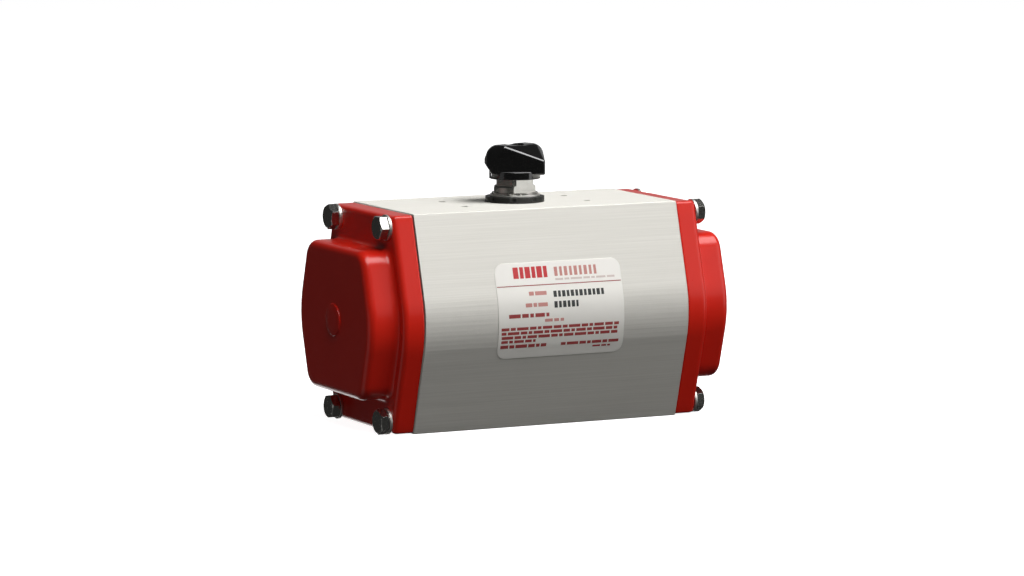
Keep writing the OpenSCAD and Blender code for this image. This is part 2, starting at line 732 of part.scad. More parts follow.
// Grip along X, its nose at +X; two opposite upper corners are cut off by sloping facets
module grip() {
    top = knob_z - grip_edge;
    foot = grip_z + grip_edge;
    ridge = ridge_x / (knob_l / 2 - grip_edge);
    cut = grip_cut / (knob_l / 2 - grip_edge) - 1;
    hull() for (s = [-1, 1]) {
        grip_corner(s, s, knob_z - grip_end, grip_end);
        grip_corner(s * ridge, s, top);
        grip_corner(s, -s, top - nose_drop);
        grip_corner(1, s, foot);
        grip_corner(-1, s, foot + grip_lift);
        grip_corner(cut, s, foot);
    }
}

module indicator_knob() color([0.06, 0.06, 0.06]) difference() {
    union() {
        rotate(knob_turn) grip();
        translate([0, 0, skirt_z]) cylinder(r = skirt_r, h = skirt_t);
    }
    rotate(rest_turn) translate([0, 0, (skirt_z + shaft_top) / 2]) intersection() {
        cube([square_af + 2 * gap, square_af + 2 * gap, shaft_top - skirt_z + 4 * gap], center = true);
        cylinder(r = square_r + gap, h = shaft_out, center = true);
    }
    translate([0, 0, shaft_top - 1]) cylinder(r = screw_hole_r, h = knob_z - shaft_top);
    translate([0, 0, knob_z - screw_sink]) cylinder(r = screw_seat_r, h = screw_sink + 1);
}

// Cap screw that holds the indicator on the shaft
module indicator_screw() color("gray") difference() {
    union() {
        translate([0, 0, shaft_top - screw_l])
            cylinder(r = screw_r, h = knob_z - screw_sink + 1 - shaft_top + screw_l);
        translate([0, 0, knob_z - screw_sink]) cylinder(r = screw_head_r, h = screw_head_t);
    }
    translate([0, 0, knob_z - screw_sink + screw_head_t - screw_key_depth])
        cylinder(d = screw_key_af / cos(30), h = screw_key_depth + 1, $fn = 6);
}

module label_plate() color("white") intersection() {
    along_x(-label_w, label_w) difference() {
        body_section(-label_t);
        body_section();
    }
    translate([label_x, 0, zc + (label_up - label_down) / 2]) rotate([90, 0, 0])
        linear_extrude(2 * side_r) rounded(label_w, label_up + label_down, label_corner);
}

module rounded(w, h, r) {
    square([w - 2 * r, h], center = true);
    square([w, h - 2 * r], center = true);
    for (x = [-1, 1], y = [-1, 1]) translate([x * (w / 2 - r), y * (h / 2 - r)]) circle(r = r);
}

body_extrusion();
left_end_cap();
right_end_cap();
left_cap_seal();
right_cap_seal();
left_cap_bolts();
right_cap_bolts();
left_cap_washers();
right_cap_washers();
pinion();
stop_cam();
pinion_upper_bearing();
pinion_lower_bearing();
pinion_upper_oring();
pinion_lower_oring();
thrust_washer();
top_thrust_collar();
top_washer();
snap_ring();
left_piston();
right_piston();
left_piston_oring();
right_piston_oring();
left_guide_band();
right_guide_band();
left_rack_wear_pad();
right_rack_wear_pad();
stop_screw_closed();
stop_screw_open();
stop_nut_closed();
stop_nut_open();
stop_washer_closed();
stop_washer_open();
stop_seal_closed();
stop_seal_open();
air_port_plate();
port_plate_gasket();
port_plate_screws();
indicator_knob();
indicator_screw();
label_plate();
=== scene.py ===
import math
import bpy
import bmesh
from mathutils import Matrix, Vector


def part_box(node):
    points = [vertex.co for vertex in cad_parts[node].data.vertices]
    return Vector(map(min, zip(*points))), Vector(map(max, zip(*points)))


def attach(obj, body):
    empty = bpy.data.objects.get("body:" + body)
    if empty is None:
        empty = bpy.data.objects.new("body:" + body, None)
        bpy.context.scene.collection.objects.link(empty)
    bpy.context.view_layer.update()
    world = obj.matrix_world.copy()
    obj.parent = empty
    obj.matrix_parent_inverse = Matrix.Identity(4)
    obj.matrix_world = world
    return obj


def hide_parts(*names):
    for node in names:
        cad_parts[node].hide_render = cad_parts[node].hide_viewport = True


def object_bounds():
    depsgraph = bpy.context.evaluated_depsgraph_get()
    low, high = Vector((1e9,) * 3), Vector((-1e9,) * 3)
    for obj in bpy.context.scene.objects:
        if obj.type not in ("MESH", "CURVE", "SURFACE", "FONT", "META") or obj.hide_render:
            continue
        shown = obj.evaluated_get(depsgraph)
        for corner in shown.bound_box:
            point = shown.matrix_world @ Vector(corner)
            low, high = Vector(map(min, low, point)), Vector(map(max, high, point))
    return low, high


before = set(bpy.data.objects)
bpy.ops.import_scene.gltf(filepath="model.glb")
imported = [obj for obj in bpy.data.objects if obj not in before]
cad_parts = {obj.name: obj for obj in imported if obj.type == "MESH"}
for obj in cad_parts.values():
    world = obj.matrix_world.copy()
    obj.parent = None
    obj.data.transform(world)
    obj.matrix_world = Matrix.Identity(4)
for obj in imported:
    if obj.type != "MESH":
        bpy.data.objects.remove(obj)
cad_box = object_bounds()

MM = 0.001

# ---- places from the frame, and the sizes that the rounded pieces share with the CAD -----------

body_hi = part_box("body_extrusion")[1]
cap_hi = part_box("right_end_cap")[1]
knob_lo, knob_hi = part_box("indicator_knob")
label_lo, label_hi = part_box("label_plate")
bore_z = body_hi.z / 2
half_length = body_hi.x

# Body's section: six sides, two of them round
SIDE_R = 57.5 * MM
FACET_TILT = math.radians(16.5)
MIN_CORNER = 0.3 * MM

# End caps: the flange has the body's section, a little smaller; the dome's is smaller and rounder
CAP_INSET = 0.6 * MM
CAP_CORNER = 2 * MM
CAP_CHAMFER = 0.35 * MM
CAP_END_INSET = 6 * MM
FLANGE_T = 13 * MM
FLANGE_EDGE = 3.2 * MM
DOME_R = 49.7 * MM
DOME_HZ = 43.3 * MM
DOME_TILT = math.radians(17)
DOME_CORNER = 11.7 * MM
DOME_EDGE = 4.5 * MM
DOME_FOOT = 3 * MM
BOSS_R = 9.3 * MM
BOSS_T = 0.9 * MM
BOSS_EDGE = 0.4 * MM
BOSS_MARGIN = 1 * MM

# Rings this far from a rounded edge keep the surface beside it flat, and rings at these shares of
# the way across the flange's face and the dome's top do so there
FLANGE_KEEP = 0.6 * MM
DOME_KEEP = 0.8 * MM
SEAM_KEEP = 1 * MM
FACE_SHARES = (0.08, 0.5, 0.92)
TOP_SHARES = (0.06, 0.35, 0.7, 0.95)

# Indicator: a grip with two sloping facets on a round skirt
GRIP_L = 34.4 * MM
GRIP_W = 23.6 * MM
GRIP_TURN = math.radians(-23)
GRIP_FOOT = 2.7 * MM  # its foot's height over the skirt's underside
GRIP_EDGE = 1.2 * MM  # radius of the foot's edges
GRIP_END = 7 * MM  # radius of the high corners
RIDGE_X = 6.6 * MM
RIDGE_EDGE = 2.2 * MM
NOSE_DROP = 8.3 * MM  # depth of the low corners under the top
NOSE_EDGE = 1.6 * MM
TAIL_CUT = 3 * MM
TAIL_LIFT = 4.5 * MM
SKIRT_R = 15 * MM
SKIRT_T = 4.6 * MM
SKIRT_EDGE = 0.4 * MM

# Openings in the knob: for the shaft's square end, the screw's shank and its head; the tool that
# cuts them sticks out this far
SQUARE_R = 10.85 * MM
SHAFT_GAP = 0.05 * MM
SHANK_R = 3.3 * MM
HEAD_H = 5 * MM
HEAD_GAP = 0.6 * MM
TOOL_OUT = 1 * MM

# Label: the film and its print
LABEL_CORNER = 5.5 * MM
RULE_DOWN = 13 * MM  # the ruled line's distance from the top edge
HEADING_EDGE = 0.5 * MM  # the heading's distance from the film's edges
SHARP_CORNER = 0.05 * MM  # radius of the heading's lower corners
FILM_BACK = 0.02 * MM  # the film's back and front, from the body
FILM_T = 0.15 * MM
INK_T = 0.05 * MM
ROW_STEP = 1 * MM  # spacing of the rows of vertices
ROW_MERGE = 0.01 * MM
NARROWEST = 0.8  # in mm, of a printed block

# Vertices closer than MERGE are one, faces that bend less than FLAT are flat, and edges that bend
# more than SHARP stay crisp, or more than KNOB_SHARP on the knob
MERGE = 0.001 * MM
FLAT = math.radians(0.5)
SHARP = math.radians(30)
KNOB_SHARP = math.radians(22)

# Steps along a section's round side, corner and straight parts, over an edge, round a turned
# piece, and from pole to pole of a ball
SIDE_STEPS = 10
CORNER_STEPS = 8
STRAIGHT_STEPS = 8
EDGE_STEPS = 3
LATHE_STEPS = 96
BALL_STEPS = 16

# Camera, at the photo's angle: it looks at this point from this far, with a long lens
CAMERA_AZIMUTH = math.radians(-26.4)
CAMERA_ELEVATION = math.radians(6.94)
CAMERA_DISTANCE = 2.8055
CAMERA_TARGET = Vector((-0.0018, 0, 0.0757))
CAMERA_LENS = 167.87
CAMERA_SENSOR = 36
CAMERA_CLIP = 50

# Round sweep that the part stands in: radius, radius of its cove, height, inner rings, steps over
# the cove and round it, and its distance under the part
SWEEP_R = 9
SWEEP_COVE = 3
SWEEP_H = 7
SWEEP_INNER = (0.02, 1)
SWEEP_COVE_STEPS = 12
SWEEP_STEPS = 64
FLOOR_GAP = 0.2 * MM


# ---- mesh helpers -----------------------------------------------------------------------------

def new_object(name, mesh):
    obj = bpy.data.objects.new(name, mesh)
    bpy.context.scene.collection.objects.link(obj)
    return obj


def finish_piece(obj, material, body, slot, *replaced):
    """Gives a piece its material and body, and hides the CAD nodes that it replaces; slot is not
    used.
    """
    obj.data.materials.clear()
    obj.data.materials.append(material)
    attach(obj, body)
    if replaced:
        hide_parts(*replaced)


def arc(start, end, steps):
    """Numbers from start to end in even steps, both ends included."""
    return [start + (end - start) * i / steps for i in range(steps + 1)]


def mix_points(p, q, t):
    return (p[0] + (q[0] - p[0]) * t, p[1] + (q[1] - p[1]) * t)


def mix_rings(a, b, t):
    """Ring the share t of the way from a to b."""
    return [mix_points(p, q, t) for p, q in zip(a, b)]


def section(r, h, tilt, corner, inset):
    """Points (y, z) round the section, anticlockwise from the +Y side.

    r is the radius of its round sides, h half its height, tilt the slope of its facets, and
    inset how far all of it lies inside that.
    """
    r, h, corner = r - inset, h - inset, max(corner - inset, MIN_CORNER)
    cz = h - corner
    cy = (r - corner - cz * math.sin(tilt)) / math.cos(tilt)
    side = [(r * math.cos(t), r * math.sin(t)) for t in arc(0, tilt, SIDE_STEPS)]
    bend = [(cy + corner * math.cos(t), cz + corner * math.sin(t))
            for t in arc(tilt, math.pi / 2, CORNER_STEPS)]
    facet = [mix_points(side[-1], bend[0], t) for t in arc(0, 1, STRAIGHT_STEPS)[1:-1]]
    flat = [mix_points(bend[-1], (0, h), t) for t in arc(0, 1, STRAIGHT_STEPS)[1:]]
    quarter = side + facet + bend + flat
    top = quarter + [(-y, z) for y, z in reversed(quarter[:-1])]
    return top + [(-y, -z) for y, z in top[1:-1]]


def circle(r, like):
    """Points on a circle at the same angles as the points of another ring."""
    return [(r * math.cos(t), r * math.sin(t)) for t in (math.atan2(z, y) for y, z in like)]


def swept(name, rings):
    """Closed mesh through rings [(x, [(y, z), ...]), ...] along X; each end is filled."""
    bm = bmesh.new()
    rows = [[bm.verts.new((x, y, bore_z + z)) for y, z in ring] for x, ring in rings]
    n = len(rows[0])
    for a, b in zip(rows, rows[1:]):
        for i in range(n):
            j = (i + 1) % n
            bm.faces.new((a[i], a[j], b[j], b[i]))
    bm.faces.new(reversed(rows[0]))
    centre = bm.verts.new((rings[-1][0], 0, bore_z))
    for i in range(n):
        bm.faces.new((rows[-1][i], rows[-1][(i + 1) % n], centre))
    bmesh.ops.recalc_face_normals(bm, faces=bm.faces)
    for f in bm.faces:
        f.smooth = True
    mesh = bpy.data.meshes.new(name)
    bm.to_mesh(mesh)
    bm.free()
    return new_object(name, mesh)


def mesh_of(name, bm, sharp=SHARP):
    """Turns bm into a smooth mesh whose edges over the angle sharp stay crisp."""
    bmesh.ops.recalc_face_normals(bm, faces=bm.faces)
    mesh = bpy.data.meshes.new(name)
    bm.to_mesh(mesh)
    bm.free()
    mesh.shade_smooth()
    mesh.set_sharp_from_angle(angle=sharp)
    return mesh


def lathe(name, profile):
    """Closed solid of revolution about the Z axis; profile is (radius, z), both ends on it."""
    bm = bmesh.new()
    rings = []
    for r, z in profile:
        if r == 0:
            rings.append([bm.verts.new((0, 0, z))])
            continue
        rings.append([bm.verts.new((r * math.cos(a), r * math.sin(a), z))
                      for a in arc(0, 2 * math.pi, LATHE_STEPS)[:-1]])
    for a, b in zip(rings, rings[1:]):
        for i in range(LATHE_STEPS):
            j = (i + 1) % LATHE_STEPS
            quad = [a[i % len(a)], a[j % len(a)], b[j % len(b)], b[i % len(b)]]
            bm.faces.new(list(dict.fromkeys(quad)))
    return mesh_of(name, bm)


def rolled_hull(name, balls):
    """Convex solid stretched over balls given as (centre, radius)."""
    bm = bmesh.new()
    for centre, r in balls:
        for lat in arc(0, math.pi, BALL_STEPS):
            for lon in arc(0, 2 * math.pi, 2 * BALL_STEPS)[:-1]:
                way = Vector((math.sin(lat) * math.cos(lon), math.sin(lat) * math.sin(lon),
                              math.cos(lat)))
                bm.verts.new(centre + way * r)
    bmesh.ops.remove_doubles(bm, verts=bm.verts, dist=MERGE)
    hull = bmesh.ops.convex_hull(bm, input=bm.verts)
    loose = {part for part in hull["geom_interior"] + hull["geom_unused"]
             if isinstance(part, bmesh.types.BMVert)}
    bmesh.ops.delete(bm, geom=list(loose), context="VERTS")
    bmesh.ops.dissolve_limit(bm, angle_limit=FLAT, verts=bm.verts, edges=bm.edges)
    return mesh_of(name, bm)


def combined(name, base, steps, sharp):
    """One closed mesh: base with each (operation, mesh) of steps applied in turn."""
    work = new_object(name, base)
    tools = []
    for operation, mesh in steps:
        tool = new_object(name + "_tool", mesh)
        tools.append(tool)
        cut = work.modifiers.new("cut", "BOOLEAN")
        cut.operation = operation
        cut.solver = "EXACT"
        cut.object = tool
    bpy.context.view_layer.update()
    ready = work.evaluated_get(bpy.context.evaluated_depsgraph_get())
    bm = bmesh.new()
    bm.from_mesh(ready.to_mesh())
    ready.to_mesh_clear()
    bmesh.ops.remove_doubles(bm, verts=bm.verts, dist=MERGE)
    for obj in tools + [work]:
        bpy.data.objects.remove(obj)
    return mesh_of(name, bm, sharp)


def weighted(obj):
    """Shades the flats flat and the rounded edges round."""
    shade = obj.modifiers.new("shade", "WEIGHTED_NORMAL")
    shade.weight = 90
    return obj


def soften(width, *names):
    """Rounds the edges of CAD nodes by modifiers; the meshes themselves stay as they are."""
    for name in names:
        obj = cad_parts[name]
        weld = obj.modifiers.new("weld", "WELD")
        weld.merge_threshold = MERGE
        flats = obj.modifiers.new("flats", "DECIMATE")
        flats.decimate_type = "DISSOLVE"
        flats.angle_limit = FLAT
        edges = obj.modifiers.new("edges", "BEVEL")
        edges.width = width
        edges.segments = EDGE_STEPS
        edges.limit_method = "ANGLE"
        edges.angle_limit = SHARP
        weighted(obj)


def front_y(z, out):
    """Y of the body's front at height z over the bore's axis, out metres in front of it."""
    reach, height = SIDE_R + out, abs(z)
    bend = reach * math.sin(FACET_TILT)
    if height <= bend:
        return -math.sqrt(reach ** 2 - height ** 2)
    return -(reach * math.cos(FACET_TILT) - (height - bend) * math.tan(FACET_TILT))


def front_pad(bm, rows, inner, outer):
    """Thin closed solid on the body's front; rows are (z, left, right) from the bottom up."""
    loops = []
    for z, left, right in rows:
        corners = ((left, outer), (right, outer), (right, inner), (left, inner))
        loops.append([bm.verts.new((x, front_y(z - bore_z, out), z)) for x, out in corners])
    for a, b in zip(loops, loops[1:]):
        for i in range(4):
            j = (i + 1) % 4
            bm.faces.new((a[i], a[j], b[j], b[i]))
    bm.faces.new(reversed(loops[0]))
    bm.faces.new(loops[-1])


# ---- materials --------------------------------------------------------------------------------

class Nodes:
    """Short hand for building a node material."""

    def __init__(self, name):
        self.material = bpy.data.materials.new(name)
        self.material.use_nodes = True
        self.tree = self.material.node_tree
        self.shader = self.tree.nodes["Principled BSDF"]

    def add(self, kind, **values):
        node = self.tree.nodes.new(kind)
        for key, value in values.items():
            if key in node.inputs.keys():
                node.inputs[key].default_value = value
            else:
                setattr(node, key, value)
        return node

    def link(self, a, b):
        self.tree.links.new(a, b)

    def coords(self, scale=(1, 1, 1)):
        """Object coordinates in millimetres, stretched by scale."""
        where = self.add("ShaderNodeTexCoord")
        mapping = self.add("ShaderNodeMapping")
        mapping.inputs["Scale"].default_value = [1000 * s for s in scale]
        self.link(where.outputs["Object"], mapping.inputs["Vector"])
        return mapping.outputs["Vector"]

    def noise(self, vector, scale, detail=3.0, roughness=0.5):
        node = self.add("ShaderNodeTexNoise", Scale=scale, Detail=detail, Roughness=roughness)
        self.link(vector, node.inputs["Vector"])
        return node.outputs["Fac"]

    def ramp(self, value, low, high):
        """Maps a 0..1 value between two colours or two numbers."""
        if isinstance(low, tuple):
            node = self.add("ShaderNodeMix", data_type="RGBA")
            node.inputs[6].default_value = (*low, 1)
            node.inputs[7].default_value = (*high, 1)
            self.link(value, node.inputs[0])
            return node.outputs[2]
        node = self.add("ShaderNodeMapRange")
        node.inputs["To Min"].default_value = low
        node.inputs["To Max"].default_value = high
        self.link(value, node.inputs["Value"])
        return node.outputs["Result"]

    def bump(self, height, strength, distance, normal=None):
        node = self.add("ShaderNodeBump", Strength=strength, Distance=distance)
        self.link(height, node.inputs["Height"])
        if normal:
            self.link(normal, node.inputs["Normal"])
        return node.outputs["Normal"]

    def set(self, **sockets):
        """Sets or links the shader's sockets; underscores in a name stand for spaces."""
        for key, value in sockets.items():
            socket = self.shader.inputs[key.replace("_", " ")]
            if isinstance(value, bpy.types.NodeSocket):
                self.link(value, socket)
            else:
                socket.default_value = value
        return self.material


def brushed_aluminium():
    """Satin anodised extrusion with fine draw lines along the bore."""
    n = Nodes("brushed_aluminium")
    lines = n.noise(n.coords((0.012, 1.6, 1.6)), 1.0, 4, 0.65)
    fine = n.noise(n.coords((0.05, 6, 6)), 1.0, 2)
    bands = n.noise(n.coords((0.003, 0.3, 0.3)), 1.0, 3, 0.6)
    rough = n.add("ShaderNodeMath", operation="ADD")
    n.link(n.ramp(lines, 0.50, 0.60), rough.inputs[0])
    n.link(n.ramp(bands, -0.05, 0.06), rough.inputs[1])
    along = n.add("ShaderNodeCombineXYZ", X=1.0)
    normal = n.bump(fine, 0.10, 0.00006, n.bump(lines, 0.18, 0.00012))
    return n.set(Base_Color=n.ramp(lines, (0.56, 0.547, 0.505), (0.76, 0.745, 0.70)),
                 Metallic=1.0, Roughness=rough.outputs[0], Normal=normal,
                 Anisotropic=0.8, Anisotropic_Rotation=0.25, Tangent=along.outputs[0])


def red_paint():
    """Gloss powder coat: a little orange peel, and slightly darker in faint random clouds."""
    n = Nodes("red_paint")
    peel = n.noise(n.coords(), 0.9, 2)
    cloud = n.noise(n.coords(), 0.04, 2)
    return n.set(Base_Color=n.ramp(cloud, (0.62, 0.013, 0.005), (0.70, 0.019, 0.008)),
                 Roughness=n.ramp(peel, 0.26, 0.32), IOR=1.45, Coat_Weight=0.2,
                 Coat_Roughness=0.06, Normal=n.bump(peel, 0.05, 0.0001))


def steel(name, colour, rough, turned=True):
    """Steel with fine machining lines, round it if turned, and a little wear."""
    n = Nodes(name)
    grain = n.noise(n.coords((1, 1, 6) if turned else (1, 1, 1)), 1.2, 3)
    spots = n.noise(n.coords(), 0.35, 3)
    dark = tuple(0.82 * c for c in colour)
    return n.set(Base_Color=n.ramp(spots, dark, colour), Metallic=1.0,
                 Roughness=n.ramp(grain, rough - 0.07, rough + 0.1),
                 Normal=n.bump(grain, 0.12, 0.00005))


def plastic(name, dark, light, rough, coat=0.0, ior=1.5):
    """Moulded plastic, rubber or ink: faint clouds of colour and a fine grain."""
    n = Nodes(name)
    speckle = n.noise(n.coords(), 2.5, 3)
    cloud = n.noise(n.coords(), 0.08, 2)
    return n.set(Base_Color=n.ramp(cloud, dark, light), IOR=ior, Coat_Weight=coat,
                 Roughness=n.ramp(speckle, rough - 0.06, rough + 0.08),
                 Normal=n.bump(speckle, 0.1, 0.00006))


def label_film():
    """Satin metallised film, a little blotchy under its clear coat."""
    n = Nodes("label_film")
    cloud = n.noise(n.coords(), 0.12, 3)
    fine = n.noise(n.coords((0.2, 3, 3)), 1.0, 2)
    return n.set(Base_Color=n.ramp(cloud, (0.88, 0.86, 0.805), (0.93, 0.91, 0.855)), Metallic=0.2,
                 Roughness=n.ramp(fine, 0.44, 0.52), Normal=n.bump(fine, 0.06, 0.00005))


def cast_aluminium():
    """Grainy grey casting."""
    n = Nodes("cast_aluminium")
    grain = n.noise(n.coords(), 1.6, 4)
    return n.set(Base_Color=n.ramp(grain, (0.52, 0.53, 0.54), (0.64, 0.65, 0.66)), Metallic=1.0,
                 Roughness=n.ramp(grain, 0.38, 0.55), Normal=n.bump(grain, 0.3, 0.0001))


# ---- end caps ---------------------------------------------------------------------------------

def flange(inset):
    """Section of the flange."""
    return section(SIDE_R - CAP_INSET, bore_z - CAP_INSET, FACET_TILT, CAP_CORNER, inset)


def dome(inset):
    """Section of the dome."""
    return section(DOME_R, DOME_HZ, DOME_TILT, DOME_CORNER, inset)


def outer_edge(end, radius, steps):
    """Pairs (x, inset) over a round edge that ends in the face at x = end."""
    return [(end - radius * (1 - math.sin(t)), radius * (1 - math.cos(t)))
            for t in arc(0, math.pi / 2, steps)]


def inner_edge(start, radius, steps):
    """Pairs (x, outset) over a round foot that starts from the face at x = start."""
    return [(start + radius * (1 - math.cos(t)), radius * (1 - math.sin(t)))
            for t in arc(0, math.pi / 2, steps)]


def flange_rings(x0, face):
    """From the seam over the flange's side and its round edge to the face."""
    rings = [(x0, flange(CAP_END_INSET)), (x0, flange(CAP_CHAMFER)), (x0 + CAP_CHAMFER, flange(0))]
    rings += [(x0 + SEAM_KEEP, flange(0)), (face - FLANGE_EDGE - FLANGE_KEEP, flange(0))]
    return rings + [(x, flange(inset)) for x, inset in outer_edge(face, FLANGE_EDGE, 8)]


def dome_rings(face, top):
    """From the face over the dome's flared foot and its side to its round edge."""
    foot, edge = dome(-DOME_FOOT), flange(FLANGE_EDGE)
    rings = [(face, mix_rings(edge, foot, t)) for t in FACE_SHARES]
    rings += [(x, dome(-outset)) for x, outset in inner_edge(face, DOME_FOOT, 7)]
    rings += [(face + DOME_FOOT + DOME_KEEP, dome(0)), (top - DOME_EDGE - DOME_KEEP, dome(0))]
    return rings + [(x, dome(inset)) for x, inset in outer_edge(top, DOME_EDGE, 10)]


def boss_rings(top):
    """From the dome's rim over its flat top to the small round boss."""
    rim, end = dome(DOME_EDGE), cap_hi.x
    foot = circle(BOSS_R + BOSS_MARGIN, rim)
    rings = [(top, mix_rings(rim, foot, t)) for t in TOP_SHARES] + [(top, foot)]
    rings += [(x, circle(BOSS_R + outset, rim))
              for x, outset in inner_edge(top, BOSS_EDGE, EDGE_STEPS)]
    rings += [(x, circle(BOSS_R - inset, rim))
              for x, inset in outer_edge(end, BOSS_EDGE, EDGE_STEPS)]
    return rings + [(end, circle(BOSS_R * 0.5, rim))]


def end_caps(material):
    """Both caps; the left one is the right one mirrored."""
    face, top = half_length + FLANGE_T, cap_hi.x - BOSS_T
    rings = flange_rings(half_length, face) + dome_rings(face, top) + boss_rings(top)
    for side, sign in (("left", -1), ("right", 1)):
        cap = swept(side + "_cap_shell", [(sign * x, ring) for x, ring in rings])
        finish_piece(cap, material, "housing", "cap_red", side + "_end_cap")


# ---- indicator knob ---------------------------------------------------------------------------

def grip_balls():
    """Balls at the grip's corners, in the grip's own axes; its nose is at +X."""
    top, foot = knob_hi.z, knob_lo.z + GRIP_FOOT + GRIP_EDGE

    def ball(x, side, z, r=GRIP_EDGE):
        return (Vector((x, side * (GRIP_W / 2 - r), z)), r)

    end = GRIP_L / 2 - GRIP_EDGE
    balls = []
    for s in (-1, 1):
        balls.append(ball(s * (GRIP_L / 2 - GRIP_END), s, top - GRIP_END, GRIP_END))
        balls.append(ball(s * RIDGE_X, s, top - RIDGE_EDGE, RIDGE_EDGE))
        balls.append(ball(s * (GRIP_L / 2 - NOSE_EDGE), -s, top - NOSE_EDGE - NOSE_DROP,
                          NOSE_EDGE))
        balls.append(ball(end, s, foot))
        balls.append(ball(-end, s, foot + TAIL_LIFT))
        balls.append(ball(TAIL_CUT - end, s, foot))
    turn = Matrix.Rotation(GRIP_TURN, 3, "Z")
    return [(turn @ centre, r) for centre, r in balls]


def skirt_profile():
    """Profile (radius, z) of the round skirt, with its edges rounded."""
    low, high = knob_lo.z, knob_lo.z + SKIRT_T
    rim = [(SKIRT_R - SKIRT_EDGE * (1 - math.cos(t)), SKIRT_EDGE * math.sin(t))
           for t in arc(0, math.pi / 2, 4)]
    lower = [(r, low + SKIRT_EDGE - z) for r, z in reversed(rim)]
    upper = [(r, high - SKIRT_EDGE + z) for r, z in rim]
    return [(0, low)] + lower + upper + [(0, high)]


def bore_profile():
    """Profile of the openings, from the shaft's end below to the screw's head above."""
    low, high = knob_lo.z - TOOL_OUT, knob_hi.z + TOOL_OUT
    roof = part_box("pinion")[1].z + SHAFT_GAP
    screw_lo, screw_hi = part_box("indicator_screw")
    head_r = (screw_hi.x - screw_lo.x) / 2 + HEAD_GAP
    seat = screw_hi.z - HEAD_H
    return [(0, low), (SQUARE_R, low), (SQUARE_R, roof), (SHANK_R, roof), (SHANK_R, seat),
            (head_r, seat), (head_r, high), (0, high)]


def indicator(material):
    """Knob: the grip and its skirt in one, bored for the shaft's end and the cap screw."""
    steps = [("UNION", lathe("skirt", skirt_profile())),
             ("DIFFERENCE", lathe("bore", bore_profile()))]
    mesh = combined("indicator_grip", rolled_hull("grip", grip_balls()), steps, KNOB_SHARP)
    knob = new_object("indicator_grip", mesh)
    finish_piece(weighted(knob), material, "drive_shaft", "knob_plastic", "indicator_knob")


# ---- label ------------------------------------------------------------------------------------

def rounded_rows(left, right, low, high, r_low, r_high):
    """Rows of a plate with round corners, close together at the corners."""
    rows = []
    for t in arc(0, math.pi / 2, CORNER_STEPS):
        rows.append((low + r_low * (1 - math.cos(t)), r_low * (1 - math.sin(t))))
    count = max(2, round((high - low - r_low - r_high) / ROW_STEP))
    rows += [(z, 0) for z in arc(low + r_low, high - r_high, count)[1:-1]]
    for t in arc(math.pi / 2, 0, CORNER_STEPS):
        rows.append((high - r_high * (1 - math.cos(t)), r_high * (1 - math.sin(t))))
    rows = [row for i, row in enumerate(rows) if i == 0 or row[0] - rows[i - 1][0] > ROW_MERGE]
    return [(z, left + cut, right - cut) for z, cut in rows]


def film_piece(name, material, rows, inner, outer, *replaced):
    """Layer of the label, from inner to outer metres in front of the body."""
    bm = bmesh.new()
    front_pad(bm, rows, inner, outer)
    piece = new_object(name, mesh_of(name, bm))
    finish_piece(weighted(piece), material, "housing", "label_film", *replaced)


def print_line(bm, left, right, down, height, block, space):
    """Row of plain blocks, of the widths in block in turn, with spaces between; all in mm.

    left, right and down are measured from the label's upper left corner.
    """
    x, i = left, 0
    while right - x > NARROWEST:
        end = min(x + block[i % len(block)], right)
        z = label_hi.z - down * MM
        rows = [(z + t * height * MM / 2, label_lo.x + x * MM, label_lo.x + end * MM)
                for t in (-1, 0, 1)]
        front_pad(bm, rows, FILM_T - INK_T, FILM_T + INK_T)
        x = end + space
        i += 1


def print_ink(name, material, *lines):
    """All lines of one ink as one piece; a line is what print_line takes."""
    bm = bmesh.new()
    for line in lines:
        print_line(bm, *line)
    piece = new_object(name, mesh_of(name, bm))
    finish_piece(piece, material, "housing", "label_film")


def label():
    """Film with a white heading, a ruled line and rows of plain blocks in place of the print."""
    left, right, low, high = label_lo.x, label_hi.x, label_lo.z, label_hi.z
    rule = high - RULE_DOWN
    sheet = rounded_rows(left, right, low, high, LABEL_CORNER, LABEL_CORNER)
    film_piece("label_sheet", film, sheet, FILM_BACK, FILM_T, "label_plate")
    edge = HEADING_EDGE
    heading = rounded_rows(left + edge, right - edge, rule, high - edge, SHARP_CORNER,
                           LABEL_CORNER - edge)
    film_piece("label_heading", white_ink, heading, FILM_T - INK_T, FILM_T + INK_T / 2)
    word, digit, stroke = (5, 3.1, 7.4, 4.2, 2.3, 6.1), (2.1, 1.7), (3.4, 2.4)
    print_ink("label_print_bold", red_ink, (11.7, 34.3, 5.7, 6.4, stroke, 0.9))
    print_ink("label_print_soft", soft_ink, (38.2, 65.5, 5.9, 5.2, digit, 1.3),
              (20.3, 31.7, 17.6, 2.2, word[1:], 0.8), (17.5, 31.8, 24.1, 2.2, word[3:], 0.8),
              (29.5, 41.8, 33.3, 1.7, word, 1.0))
    print_ink("label_print_faint", faint_ink, (38.4, 77, 10.3, 1.1, word, 0.9))
    print_ink("label_print_dark", dark_ink, (36, 69.1, 18.5, 3.5, digit, 0.9),
              (36, 51.6, 24.5, 3.7, digit, 0.9))
    print_ink("label_print_text", text_ink, (0.5, 80.7, 13, 0.5, (90,), 0),
              (6.5, 32.4, 30, 2.2, word[2:], 1.0), (1.7, 78.5, 37.4, 1.7, word, 0.9),
              (1.8, 76.8, 39.9, 1.7, word[1:], 0.9), (2, 77, 42.4, 1.7, word[2:], 0.9),
              (2, 24, 44.8, 1.6, word[3:], 0.9), (1.7, 31.2, 47.7, 1.9, word, 0.8),
              (40.7, 78.2, 47.7, 1.7, word[1:], 0.8), (61.6, 73.1, 50.2, 1.0, word, 0.8))


# ---- scene ------------------------------------------------------------------------------------

def look_at(obj, target):
    obj.rotation_mode = "QUATERNION"
    obj.rotation_quaternion = (target - obj.location).to_track_quat("-Z", "Y")


